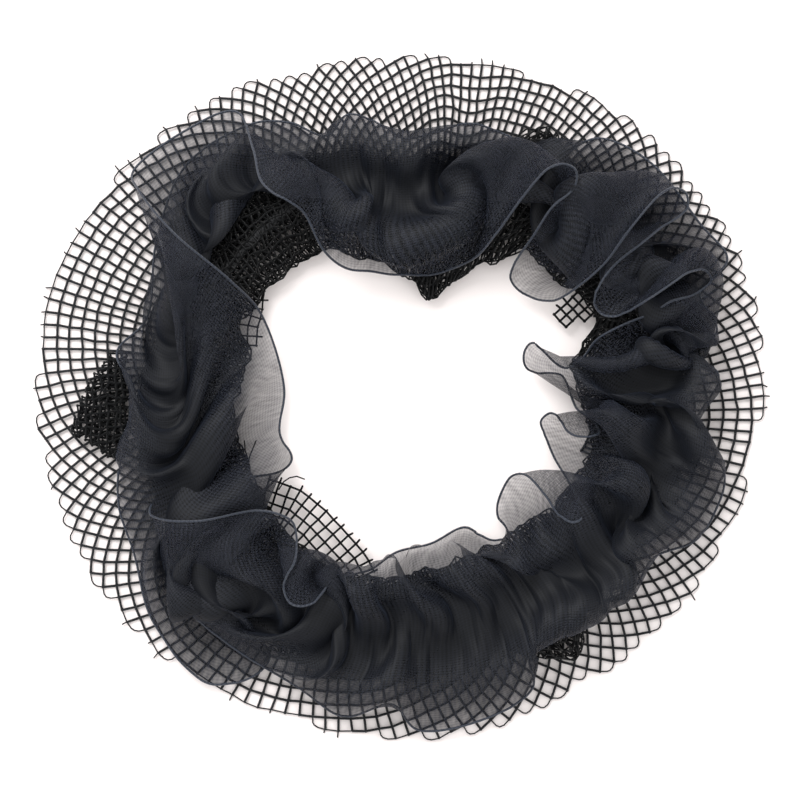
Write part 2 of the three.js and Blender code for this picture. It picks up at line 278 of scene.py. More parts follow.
def knotsAt(centres, radii):
    # Small closed knots: two six-sided pyramids base to base, turned at random, and a little flattened.
    count = len(centres)
    radius = np.broadcast_to(radii, count)[:, None]
    turn = np.random.default_rng(netting["seed"]).uniform(0, np.pi, count)[:, None] + np.pi / 3 * np.arange(6)
    rim = np.stack([radius * np.cos(turn), radius * np.sin(turn), 0 * turn], -1)
    top = netting["knotHeight"] * radius[:, None] * np.array([0, 0, 1.0])
    points = centres[:, None] + np.concatenate([rim, top, -top], 1)
    j = np.arange(6)
    k = (j + 1) % 6
    one = np.concatenate([np.stack([j, k, np.full(6, 6)], 1), np.stack([k, j, np.full(6, 7)], 1)])
    return repeated(points, one)


def gridLinks(index, ring):
    # The pairs of a grid's numbers in neighbouring rows, which a ring's last and first are too, and then in
    # neighbouring columns.
    pairs = [[index, np.roll(index, -1, axis=0)] if ring else [index[:-1], index[1:]],
             [index[:, :-1], index[:, 1:]]]
    return np.vstack([np.stack(pair, -1).reshape(-1, 2) for pair in pairs])


def joined(parts):
    # Several bodies' points and faces as one list.
    offsets = np.cumsum([0] + [len(points) for points, _ in parts[:-1]])
    return np.vstack([p for p, _ in parts]), np.vstack([f + offset for (_, f), offset in zip(parts, offsets)])


def skirtNet():
    # The hole's line in the mesh is walked by turning with the table, as long as the rim is. A crossing of
    # the mesh goes to the rim's place nearest to it on that line, and as deep under the rim as it was far
    # from the line.
    angle = np.linspace(meshTurns[0]["angle"], meshTurns[-1]["angle"], netting["walk"])
    step = np.linalg.norm(np.diff(circled(angle, columnAt(rimRows, "radius", angle)), axis=0), axis=1)
    turn = np.interp(angle, [row["angle"] for row in meshTurns], [row["mesh"] for row in meshTurns])
    even = netting["walkEven"]
    turn = np.convolve(np.pad(turn, even // 2, mode="reflect", reflect_type="odd"), np.full(even, 1 / even),
                       mode="valid")
    heading = turn - 90
    line = np.vstack([[0, 0], np.cumsum(circled(0.5 * (heading[1:] + heading[:-1]), step), axis=0)])
    gone = np.concatenate([[0], np.cumsum(step)])
    gap = line[-1]
    print("hole line opens by", gap.round(1), "of", round(gone[-1]))
    line = line - gap * (gone / gone[-1])[:, None]
    line = line - line.mean(0)
    pitch = netting["pitch"]
    reach = int((np.abs(line).max() + netting["depth"]) / pitch) + 2
    cells = np.indices((2 * reach + 1, 2 * reach + 1)).reshape(2, -1).T - reach
    places = cells * pitch
    nearest = np.empty(len(places), int)
    batch = 2000  # crossings at a time, which keeps the table of distances small
    for part in range(0, len(places), batch):
        away = np.linalg.norm(places[part:part + batch, None] - line[None, :-1], axis=2)
        nearest[part:part + batch] = away.argmin(1)
    tangent = line[nearest + 1] - line[nearest]
    length = np.linalg.norm(tangent, axis=1, keepdims=True)
    tangent = tangent / length
    offset = places - line[nearest]
    slide = np.clip(np.sum(offset * tangent, axis=1) / length[:, 0], -1, 1)
    depth = offset[:, 1] * tangent[:, 0] - offset[:, 0] * tangent[:, 1]
    far = np.linalg.norm(offset, axis=1)
    kept = (depth > -netting["over"] * pitch) & (far < netting["depth"])
    kept &= (depth > 0) | (far < netting["beside"] * pitch)
    cells, depth = cells[kept], np.maximum(depth[kept], 0)
    at = np.interp(nearest[kept] + slide[kept], np.arange(len(angle)), angle)
    rng = np.random.default_rng(netting["seed"])
    push = columnAt(rowWaves, "push", at) * np.clip(depth / netting["waveFade"], 0, 1)
    inwards = depth * columnAt(rowGaps, "gap", at) - push
    radial = columnAt(rimRows, "radius", at) - netting["rimThread"] - inwards
    flat = circled(at, radial) + rng.normal(0, netting["wobble"], (len(cells), 2))
    wave = rng.normal(0, netting["waveSpread"], len(cells)).clip(-1, 1)
    height = netting["height"] + netting["wave"] * wave
    points = np.column_stack([flat, height])
    number = np.full((2 * reach + 2, 2 * reach + 2), -1)
    a, b = (cells + reach).T
    number[a, b] = np.arange(len(cells))
    links = np.vstack([np.stack([number[a, b], number[a + da, b + db]], 1) for da, db in ((1, 0), (0, 1))])
    links = links[links[:, 1] >= 0]
    long = np.linalg.norm(points[links[:, 0]] - points[links[:, 1]], axis=1)
    return points, links[long < netting["longest"] * pitch], depth


def skirtParts(points, links, depth):
    # A rod for each thread between two knots. At the rim the threads are single and finer, a corner with no
    # thread running in goes round in a small curve, and cut ends stand out from some of the other knots: the
    # way opposite to the sum of the three threads there, with a little chance.
    count = np.bincount(links.ravel(), minlength=len(points))
    rim = depth < netting["rimBand"] * netting["pitch"]
    corner = rim & (count == 2)
    both = np.vstack([links, links[:, ::-1]])
    both = both[np.argsort(both[:, 0], kind="stable")]
    first = np.searchsorted(both[:, 0], np.arange(len(points)))
    first = np.minimum(first, len(both) - 3)
    share = netting["corner"] * corner
    a, b = links.T
    starts = points[a] + share[a, None] * (points[b] - points[a])
    ends = points[b] + share[b, None] * (points[a] - points[b])
    fine = np.maximum(depth[a], depth[b]) < netting["fineBand"] * netting["pitch"]
    fine |= corner[a] | corner[b]
    at = np.flatnonzero(corner)
    middle = points[at]
    arms = [points[both[first[at] + k, 1]] - middle for k in (0, 1)]
    bendPoint = middle + netting["cornerRound"] * (arms[0] + arms[1])
    curves = [(middle + netting["corner"] * arm, bendPoint) for arm in arms]
    rng = np.random.default_rng(netting["seed"] + 1)
    cut = np.flatnonzero(rim & (count == 3) & (rng.uniform(size=len(points)) < netting["stubs"]))
    inner = sum(points[both[first[cut] + k, 1]] - points[cut] for k in (0, 1, 2))
    away = rng.normal(0, netting["stubSpread"], inner.shape) * netting["stubFlat"] - unit(inner)
    stubEnds = points[cut] + away * rng.uniform(*netting["stubLength"], (len(cut), 1))
    starts = np.vstack([starts] + [c[0] for c in curves] + [points[cut]])
    ends = np.vstack([ends] + [c[1] for c in curves] + [stubEnds])
    radii = np.concatenate([np.where(fine, netting["rimThread"], netting["thread"]),
                            np.full(2 * len(at) + len(cut), netting["rimThread"])])
    knotted = ~corner
    knots = knotsAt(points[knotted], np.where(rim, netting["rimKnot"], netting["knot"])[knotted])
    return joined([rods(starts, ends, radii, netting["sides"], True), knots])


def netMaterial(name, colour, worn, gloss):
    # Polyamide hairnet yarn, knotted and dyed black: matt, with a faint fuzz that lifts its edges and that
    # takes its colour from dyed to worn. The fuzz is drawn about 1 mm long, which is coarser than it is.
    # Where a darker pair of colours is given, as for the bunched netting, the darkening is painted shade.
    material, shader = newMaterial(name, {
        "Roughness": 0.75, "Specular IOR Level": gloss, "Sheen Weight": 0.75 * gloss, "Sheen Roughness": 0.5})
    fuzz = addNoise(material, 900.0, 2.0)
    addColours(material, shader, colour, worn, fuzz)
    addRelief(material, shader, 0.5, 0.1, fuzz)
    return material


netPoints, netLinks, netDepth = skirtNet()
skirtPiece = makePiece("coarse_net_skirt", *skirtParts(netPoints, netLinks, netDepth),
                       netMaterial("knotted_net_yarn", "#0a0b0d", "#1d1f23", 0.2))
print("netting made:", len(netPoints), "knots")

# The bunched netting under the ribbon: crumpled layers of mesh, gathered close, and high enough to bury the
# elastic where no ribbon lies over it.
bunched = {
    "layers": 4, "radius": 46.0, "width": 21.0, "pitch": 1.3, "rowPitch": 1.75, "thread": 0.23, "sides": 3,
    "lowest": 1.3, "clear": 0.2, "rimRise": 0.35, "slant": 0.35, "layerTurn": 0.25, "jitter": 0.08,
    "seed": 21,
}
# The waves that make it uneven: how far they push, in millimetres and for the lines in degrees, how much of
# a turn each further row shifts them, and how many go round.
bunchedWaves = table(
    "wave push shift counts",
    ("inner", 0.5, 0, [31, 47, 71, 113]), ("outer", 1.0, 0, [23, 41, 67]), ("row", 0.6, 0.02, [17, 29, 43]),
    ("line", 0.7, 0.013, [19, 37, 53]), ("lift", 0.3, 0.03, [23, 51, 83]))
gatherEdges = table(
    "angle inner outer top",
    (4, 34, 54, 7.4), (17, 33, 54, 7.4), (24, 37, 55, 7.4), (29, 42, 56, 7.4), (36, 42, 56, 7.4),
    (46, 40, 57, 7.4), (57, 41, 60, 7.4), (66, 35, 64, 7.4), (75, 29, 55, 7.4), (84, 24.5, 52, 7.4),
    (95, 29, 52, 7.4), (106, 34, 56, 7.6), (122, 40, 60, 8.4), (140, 40.5, 60, 8.4),
    (152, 41.5, 54, 7.8), (160, 37, 55, 7.4), (180, 38, 58, 7.4), (200, 36, 55, 7.4), (225, 36, 57, 7.4),
    (243, 36, 55, 7.4), (257, 34, 53, 7.4), (274, 31.5, 52, 7.4), (290, 30.5, 50, 7.4),
    (303, 30.5, 58, 7.4), (314, 31, 50, 7.4), (328, 33.5, 50, 7.4), (343, 36, 52, 7.4),
    (354, 36, 54, 7.4))
# Where single threads of it can be made out: a strip of mesh along a path, its rows lying to the right of
# it as far as deep says at each point, with cut ends on its open side. All in millimetres.
netFlaps = table(
    "flap pitch layers height thread stubs deep path",
    ("lower left inner strip", 2.25, 1, 1.9, 0.24, 0.9, [8, 9, 9, 9, 9, 8],
     [(-26.5, -16.5), (-20.3, -18.7), (-15.2, -22.8), (-10.4, -28), (-7, -31.7), (-5, -35.5)]),
    ("upper left inner cells", 1.9, 1, 2.4, 0.2, 0.3, [6, 6, 6, 6],
     [(-27.6, 22), (-28, 17.7), (-29, 14.5), (-29.3, 9)]),
    ("right inner diamonds", 1.75, 1, 2.2, 0.26, 0.6, [4.6, 8], [(31.8, 17.2), (39.5, 24.6)]),
    ("left outer corner", 1.5, 3, 1.9, 0.22, 0.8, [4, 7, 10, 11.5, 3],
     [(-56, 9), (-56, 4), (-56, -2), (-56, -7), (-56, -12)]))
# How a flap's layers and threads lie, in millimetres.
flapNetting = {
    "rise": 0.7, "slide": 0.1,  # how much higher each layer lies, and how far each row of it slides on
    "deeper": 0.6,  # how far apart in depth the layers start, all together and in pitches
    "scatter": 0.05, "uneven": 0.1, "stubSpread": 0.12,  # of crossings across and up, and of cut ends
    "knotExtra": 0.12, "yarn": 0.15,  # how much thicker a knot is than its thread, and a loose yarn's radius
    "look": 2,  # how far to both sides the path's direction is taken
}
# Yarns that have come loose, as points to pass through.
looseYarns = [
    [(-24.6, -18.6, 2.5), (-23.6, -17.0, 2.9), (-22.4, -16.2, 3.2), (-20.9, -15.9, 3.4), (-19.3, -16.5, 3.2)],
    [(-31.4, -17.2, 6), (-31.0, -14.5, 6.6), (-30.5, -11.8, 7), (-29.2, -8.6, 7)],
    [(-30.6, -13, 6.6), (-31.4, -10.8, 7), (-31.6, -8.6, 7)],
]


def archOf(share):
    # The bunched netting's height as a share of its top, from the inner rim at 0 to the outer one at 1: its
    # least, and half a sine over the rest.
    return bunched["rimRise"] + (1 - bunched["rimRise"]) * np.sin(np.pi * share)


def bunchedNet():
    # Each layer is a ring of mesh from the ragged inner edge to the outer one. Its lines are slanted, and
    # smooth random waves push its crossings about, so the layers' gaps seldom meet. A layer's height is its
    # share of the layers times the arch.
    parts = []
    columns = round(2 * np.pi * bunched["radius"] / bunched["pitch"])
    rows = round(bunched["width"] / bunched["rowPitch"])
    i, j = np.indices((columns, rows + 1))
    share = j / rows
    for layer in range(bunched["layers"]):
        seed = bunched["seed"] + 10 * layer
        rng = np.random.default_rng(seed)
        place = (i + bunched["layerTurn"] * layer) / columns + bunched["slant"] * (-1) ** layer * j / columns
        push = {row["wave"]: row["push"] * ripple(place + row["shift"] * j, row["counts"], seed + k)
                for k, row in enumerate(bunchedWaves)}
        angle = 360 * place
        inner = columnAt(gatherEdges, "inner", angle) + push["inner"]
        outer = columnAt(gatherEdges, "outer", angle) + push["outer"]
        radius = inner + (outer - inner) * share + push["row"]
        angle = angle + push["line"]
        low, high = bunched["lowest"], columnAt(gatherEdges, "top", angle)
        rise = (layer + 0.5) / bunched["layers"] * archOf(share)
        height = low + (high - low) * rise + push["lift"] + bunchedWaves[-1]["push"]
        points = polar(angle, radius, height).reshape(-1, 3)
        points += rng.normal(0, bunched["jitter"], points.shape)
        points[:, 2] = np.maximum(points[:, 2], low + bunched["clear"])
        starts, ends = gridLinks(i * (rows + 1) + j, True).T
        parts.append(rods(points[starts], points[ends], bunched["thread"], bunched["sides"], False))
    return parts


def flapNet(flap, seed):
    # Crossings stand a pitch apart along the path and to its right. Further layers are shifted and turned a
    # little, so that their threads fill the cells.
    path = np.array(flap["path"])
    gone = goneAlong(path)
    pitch, parts = flap["pitch"], []
    for layer in range(flap["layers"]):
        rng = np.random.default_rng(seed + layer)
        columns, rows = int(gone[-1] / pitch) + 1, int(max(flap["deep"]) / pitch) + 1
        i, j = np.indices((columns, rows))
        slide = flapNetting["slide"] * layer * j
        along = np.clip(pitch * (i + layer / flap["layers"]) + slide, 0, gone[-1])
        deep = pitch * (j + flapNetting["deeper"] * layer / flap["layers"])
        look = flapNetting["look"]
        near = [np.stack([np.interp(along + shift, gone, path[:, k]) for k in (0, 1)], -1)
                for shift in (-look, 0, look)]
        heading = unit(near[2] - near[0])
        right = np.stack([heading[..., 1], -heading[..., 0]], -1)
        scatter = flapNetting["scatter"] * flap["layers"] ** 1.5
        flat = near[1] + right * deep[..., None] + rng.normal(0, scatter, (*deep.shape, 2))
        height = flap["height"] + flapNetting["rise"] * layer
        height = height + rng.normal(0, flapNetting["uneven"], deep.shape)
        points = np.concatenate([flat, height[..., None]], -1).reshape(-1, 3)
        kept = (deep <= np.interp(along, gone, flap["deep"])).ravel()
        links = gridLinks(i * rows + j, False)
        links = links[kept[links].all(1)]
        cut = rows * np.arange(columns)
        cut = cut[kept[cut] & (rng.uniform(size=columns) < flap["stubs"])]
        out = np.concatenate([-right[:, 0], np.zeros((columns, 1))], 1)[cut // rows]
        ends = points[cut] + out * rng.uniform(*netting["stubLength"], (len(cut), 1))
        ends = ends + rng.normal(0, flapNetting["stubSpread"], ends.shape)
        starts = np.vstack([points[links[:, 0]], points[cut]])
        ends = np.vstack([points[links[:, 1]], ends])
        parts.append(rods(starts, ends, flap["thread"], netting["sides"], True))
        parts.append(knotsAt(points[kept], flap["thread"] + flapNetting["knotExtra"]))
    return parts


bunchedParts = bunchedNet()
for number, flap in enumerate(netFlaps):
    bunchedParts += flapNet(flap, bunched["seed"] + 100 * (number + 1))
for yarn in looseYarns:
    yarn = np.array(yarn)
    bunchedParts.append(rods(yarn[:-1], yarn[1:], flapNetting["yarn"], netting["sides"], True))
# Its yarn is the skirt's yarn in darker colours: painted shade of the dense heap.
bunchedPiece = makePiece("bunched_net", *joined(bunchedParts),
                         netMaterial("bunched_net_yarn_painted_shade", "#030404", "#0b0c0f", 0.1))
print("bunched netting made")

# The line that the ribbon is gathered on, which lies over the elastic.
seamRing = table(
    "angle radius height",
    (0, 49.5, 8), (30, 51, 8), (60, 50, 8), (90, 46.5, 7.4), (112, 49, 9), (132, 57.5, 9),
    (152, 51.5, 11), (166, 49.5, 10), (182, 48.5, 9.5), (196, 51.5, 9.5), (208, 56, 9), (222, 57, 9),
    (236, 49.5, 9), (270, 44.5, 7.4), (300, 43.5, 8), (330, 48, 8))

# The organza ribbon: its cut size, the gathers that run out from the gathered line, and how it settles.
ribbon = {
    "length": 640.0, "stepsRound": 720,
    "inner": {"width": 29.0, "steps": 15}, "outer": {"width": 21.0, "steps": 10, "lean": 0.3, "bulge": 3.5},
    "edgeHold": 18.0, "evenOut": 17,  # how far in from an edge the gathers grow, and over how many steps
    "pleats": 46, "deepest": 2.5, "seed": 30,
    "drift": 0.35, "driftWaves": [5, 9, 14, 23, 31], "bow": 0.03, "bowWaves": [7, 12, 19],
    "fewFrom": 4.0, "fewOver": 8.0,  # where half of the pleats begin to end, and over how many millimetres
    "seamTake": 0.25, "seamReach": 3.0,  # the share of the gathers that the stitched line holds flat
    "settling": 260, "stiffness": 0.25, "weight": 0.004,
    "smoothing": 10, "smoothRound": 0.25, "smoothAcross": 0.1,
    "edgeGive": 0.02, "edgeGrip": 0.5, "seamGrip": 0.1,  # how the edges and the line stay where they are
    "lowest": 1.7, "heapReach": 56.0, "heapRims": 6, "heapEvery": 8,
    "edgeThread": 0.24, "edgeSides": 6,
}
# Finer gathers on top of it: so many round the ribbon, their depth, how far they reach and their sway.
creases = table(
    "count depth reach sway seed",
    (67, 1.0, 15.0, 0.9, 61), (113, 0.35, 8.0, 0.6, 64))
# The waves that sway them along the ribbon and askew, and that make them uneven about their middle size.
creaseWaves = {"along": [9, 17, 29, 41], "askew": [11, 23, 37], "askewShare": 0.08,
               "uneven": [13, 21, 34, 55], "size": 0.5, "sizeShare": 0.6}
# The two edges about the ring's middle, clockwise, a row for each fold. seam is the stretch of the
# gathered line that the fold takes, in degrees, and turns are its edge's bends: (angle, radius, height).
# Slack cloth of the inner half bulges by at most bulge, leaning outwards by lean for each unit up. Where
# belly is given, the middle of the cloth runs through it instead: for each turn the belly's angle, radius
# and height.
innerFolds = table(
    "fold seam lean bulge turns belly",
    ("left lobe", (214, 154), -0.3, 6,
     [(200, 28, 4), (186, 28.5, 3), (168, 28, 3), (147, 38, 6), (144, 47, 14), (143, 62, 18),
      (141, 73, 12)],
     [(203, 42, 13), (190, 39, 13.5), (174, 38.5, 13.5), (161, 44, 13.5), (156, 50, 15), (150.5, 58, 17),
      (147, 65, 14)]),
    ("upper left sheer lobe", (154, 128), 0, 5,
     [(139, 77, 4.5), (129, 75.5, 3.5), (121, 73, 4), (121.6, 64.2, 12), (123.6, 57.8, 16),
      (122.8, 54.1, 18)],
     [(143, 66, 8), (134, 66, 5.5), (124, 66, 6), (117.5, 66, 9), (116, 64.5, 12), (116, 63, 14)]),
    ("top lobe's left end", (128, 103), 0.1, 8,
     [(120.9, 51.1, 18), (119.2, 47.4, 16), (119.6, 39.8, 13), (118.2, 36, 11), (114.8, 33.2, 9)],
     [(116.5, 62, 15), (113.5, 60, 14.5), (111, 53, 14), (109.5, 48.5, 14.5), (108, 43.5, 15)]),
    ("top lobe", (101, 80), 0.1, 8,
     [(108, 31.3, 7.5), (101, 29.7, 6), (94, 29.2, 5.5), (89, 29, 5), (84, 29.3, 5), (77.5, 31, 6),
      (70.3, 34.6, 9)],
     [(104, 41.5, 11.5), (99.5, 41, 16), (95, 40, 15.5), (91.5, 39, 9.5), (88, 39.5, 14.5),
      (83, 41.5, 16.5), (77.5, 43.5, 10.5)]),
    ("standing fold", (80, 58), 0.7, 11,
     [(67, 40.5, 14), (64.3, 50.5, 19), (62.4, 56.2, 21), (60.4, 58.9, 21), (58, 59.6, 20),
      (56.1, 57, 18), (57.5, 51, 17), (57.6, 43.9, 15), (57.9, 37.7, 10), (56.5, 34.2, 7),
      (51.8, 33.1, 5), (46, 33.9, 4), (42.2, 35.4, 5)],
     [(76.5, 52.5, 13.5), (71.5, 57, 17.5), (67, 58.5, 18.5), (63, 59, 17), (60, 57.5, 14),
      (59, 55, 11.5), (59, 53, 10), (58.5, 50.5, 9), (58, 47.5, 8.5), (57, 45, 8), (55, 43, 7.5),
      (53, 43, 7.5), (52, 46, 9.5)]),
    ("first of the pair", (58, 32), -0.1, 9,
     [(40.1, 37.5, 8), (39.2, 43.1, 12), (39.6, 49.5, 16), (41.7, 57.9, 20), (42.6, 65.7, 20),
      (42, 69.2, 18), (40.3, 70.9, 16), (38, 69.5, 14), (38, 63.2, 15), (37.9, 57.1, 16),
      (37.7, 50.2, 15), (34.8, 44.2, 14)],
     [(52.5, 53, 13), (53.5, 58, 15.5), (53, 61.5, 17.5), (50.5, 64.5, 18.5), (46.5, 67, 18.5),
      (43.5, 68, 15.5), (41, 66, 11.5), (39, 62, 10), (38, 59, 9.5), (37.5, 57, 9.5), (37, 56, 10),
      (36.5, 56, 12)]),
    ("second of the pair", (32, 10), -0.7, 10,
     [(32.5, 42.7, 13), (29.5, 42.8, 12), (27.5, 44.8, 13), (26.9, 48.5, 15), (27.2, 53, 17),
      (27.9, 60.8, 16), (27.2, 65, 13), (25.1, 66.1, 11), (24.3, 61.1, 11.5), (24.7, 57, 12),
      (24, 52.5, 12), (24.3, 46.2, 12), (23.5, 39.6, 11), (20.6, 36.1, 9)],
     [(36, 56.5, 13.5), (35.5, 58, 14.5), (34.8, 59.5, 15), (34, 61, 15.5), (33, 62.5, 15.5),
      (31, 65, 15), (28.8, 67, 12), (23, 66.5, 6), (19.5, 63, 6), (17.5, 61, 7.5), (16.5, 58, 9),
      (16, 53, 10.5), (15, 47, 11.5), (13.5, 43.5, 11.5)]),
    ("upper flute", (10, -6), 0.1, 6,
     [(18.2, 32.1, 9), (23.7, 29.5, 8), (32.2, 28.1, 7), (32.6, 26.3, 5), (29.5, 25, 5), (24.6, 24.6, 4),
      (21.2, 25.5, 3), (16.4, 30.5, 3), (12.1, 31.2, 3), (4, 32.2, 4)],
     [(12, 41.5, 12), (13, 40, 13), (14, 39, 13.5), (12, 38, 13.5), (9.5, 38.5, 13), (7.5, 39.5, 12),
      (5.5, 41, 9.5), (4, 42, 7.5), (2.5, 42, 7.5), (1, 42, 8.5)]),
    ("middle flute", (-6, -26), 0.1, 6,
     [(-5, 37, 10), (-6, 31.5, 9), (-4.7, 30.2, 8), (0.4, 28.3, 7), (1.7, 27.1, 6), (-1.4, 25.2, 5),
      (-5.9, 25.8, 4), (-16.4, 29, 3), (-23.6, 33.8, 5)],
     [(0, 42.5, 12), (0, 41, 13), (-0.5, 39.5, 13.5), (-1.5, 38.5, 13.5), (-3, 38.5, 13),
      (-5.5, 39.5, 12), (-8.5, 41.5, 9), (-12, 42, 7.5), (-15, 42.5, 9)]),
    ("lower flute", (-26, -50), 0.1, 6,
     [(-30, 38.6, 12), (-31.9, 39.1, 13), (-34, 38.1, 13), (-34.6, 34.6, 12), (-31.6, 30.5, 10),
      (-28.3, 24.7, 7), (-32.4, 22.6, 5), (-39.9, 22.7, 4), (-48.7, 24.5, 3), (-51.8, 26.8, 3),
      (-52.6, 30.7, 3)],
     [(-20, 42.5, 12.5), (-20.5, 41.5, 13.5), (-21.5, 40.5, 14), (-22.5, 40, 14), (-23.5, 39, 14),
      (-25.5, 38, 13.5), (-29, 37.5, 13), (-34, 38, 12), (-41, 38.5, 10), (-46, 38.5, 8),
      (-50, 38.5, 7.5)]),
    ("bottom lobe", (-50, -112), -0.1, 5,
     [(-61, 28, 2), (-67, 24.5, 2), (-84, 26, 2), (-99, 28, 2), (-107, 32.5, 4)]),
    ("lower left fold", (-112, -146), 0.2, 8,
     [(-113, 35, 8), (-118.1, 38.3, 12), (-119.6, 43.1, 14), (-121.6, 45, 14.5), (-124.5, 46, 14.5),
      (-127.3, 44.6, 14.5), (-129, 42.9, 14.5), (-130.3, 38.9, 14.5), (-135.2, 34.9, 14),
      (-140, 33.3, 14), (-145, 34.5, 14.5), (-150, 38, 15), (-155, 50, 17), (-160, 58, 12),
      (-163, 55, 7.5), (-163, 46, 7)],
     [(-115, 37, 9.5), (-117, 35, 11), (-119, 34.8, 12), (-121.5, 34.8, 12), (-124, 34.6, 12),
      (-127, 34.4, 12), (-130, 34.2, 12), (-132.5, 35.5, 12), (-133.5, 39, 11.5), (-135, 42.5, 11),
      (-137, 45, 12.5), (-140.5, 48, 14.5), (-146.5, 54, 14.5), (-151.5, 58, 12), (-155, 56, 9),
      (-157, 50, 9)]))
outerFolds = table(
    "fold seam turns",
    ("left side", (200, 160),
     [(195, 63.5, 4), (187, 61, 5), (174, 58.5, 6), (168, 63, 4), (160, 59, 3)]),
    ("under the sheer lobe", (160, 122),
     [(147, 64, 2.5), (133, 70, 2.5), (120, 69, 3)]),
    ("top left lobe", (122, 108),
     [(114, 66, 3.5), (108, 60.5, 5)]),
    ("top lobe", (108, 94),
     [(103, 63.5, 3), (97, 60, 4)]),
    ("two small lobes", (94, 72),
     [(93, 57, 5), (86, 58.5, 4), (80, 61, 3), (73, 60.5, 3)]),
    ("upper right sheer lobe", (72, 28),
     [(63, 60, 5), (57, 68, 3), (48, 70.5, 3), (34, 70, 3), (27, 71, 3)]),
    ("right curls", (28, 12),
     [(24, 63, 4), (16, 63.5, 4), (13, 56, 6)]),
    ("right lobe", (12, -6),
     [(8, 62, 3), (-5, 55.5, 4)]),
    ("lower right lobe", (-6, -32),
     [(-10, 63.5, 3), (-23, 62.5, 3), (-31, 56, 5)]),
    ("lower right side", (-32, -66),
     [(-38, 56, 4), (-56, 51, 4), (-65, 54, 5)]),
    ("bottom lobe", (-66, -96),
     [(-67, 60, 3), (-76, 63, 3), (-90, 64, 3)]),
    ("bottom pleat", (-96, -108),
     [(-95, 59, 5), (-104, 63, 3)]),
    ("lower left inner lobe", (-108, -140),
     [(-114, 60.5, 3), (-131, 60.5, 6), (-142, 61, 8), (-152, 58, 9)]),
    ("lower left sheer lobe", (-140, -160),
     [(-143, 58, 5), (-122, 57.5, 2.5), (-127.5, 69, 2.2), (-142, 68.5, 2), (-154, 64.5, 2.5)]))


def edgeAt(folds, seam):
    # An edge of the ribbon at seam angles that fall: each fold spreads its stretch of the gathered line over
    # the length of its edge, and a smooth closed curve runs through all the turns. With it come the belly's
    # points, and how far the belly holds: one where it is given, nought elsewhere.
    points = [np.array([polar(*turn) for turn in row["turns"]]) for row in folds]
    seams = []
    for k, row in enumerate(folds):
        gone = goneAlong(np.vstack([points[k], points[(k + 1) % len(folds)][:1]]))
        share = gone[:-1] / gone[-1]
        seams.append(row["seam"][0] + (row["seam"][1] - row["seam"][0]) * share)
    turns = np.vstack(points)
    passed = np.concatenate([seams[0][0] - np.concatenate(seams), [360.0]])
    place = np.interp(np.mod(seams[0][0] - seam, 360), passed, np.arange(len(turns) + 1))
    first = np.floor(place).astype(int)
    before, start, end, after = (turns[(first + k) % len(turns)] for k in (-1, 0, 1, 2))
    rows = [[(1, *polar(*point)) for point in row["belly"]] if "belly" in row
            else np.zeros((len(row["turns"]), 4)) for row in folds]
    values = np.vstack(rows)
    values = np.vstack([values, values[:1]])
    given, *belly = [np.interp(place, np.arange(len(turns) + 1), value) for value in values.T]
    belly = np.stack(belly, 1) / np.maximum(given, 1e-6)[:, None]
    return bend(before, start, end, after, (place - first)[:, None]), belly, given[:, None]


def foldAt(column, seam):
    # A fold's value at its middle, and a straight line of values from one fold to the next.
    middles = [0.5 * sum(row["seam"]) for row in innerFolds]
    return np.interp(seam, middles, [row[column] for row in innerFolds], period=360)[:, None]


def middleOf(seamPoint, edgePoint, width, bulge, lift):
    # Half-way from the gathered line to an edge, lifted square to that line until the cloth keeps its
    # width: the lift is the length times the root of 3/8 of its slack.
    chord = edgePoint - seamPoint
    length = np.linalg.norm(chord, axis=1, keepdims=True)
    slack = np.maximum(width / length - 1, 0)
    along = chord / length
    lift = lift - along * np.sum(lift * along, axis=1, keepdims=True)
    return seamPoint + 0.5 * chord + np.minimum(length * np.sqrt(0.375 * slack), bulge) * lift


def normalsOf(grid):
    # The direction square to a sheet that closes on itself along its first axis: the cross product of its
    # slopes round and across.
    alongRound = np.roll(grid, -1, axis=0) - np.roll(grid, 1, axis=0)
    return unit(np.cross(alongRound, np.gradient(grid, axis=1)))


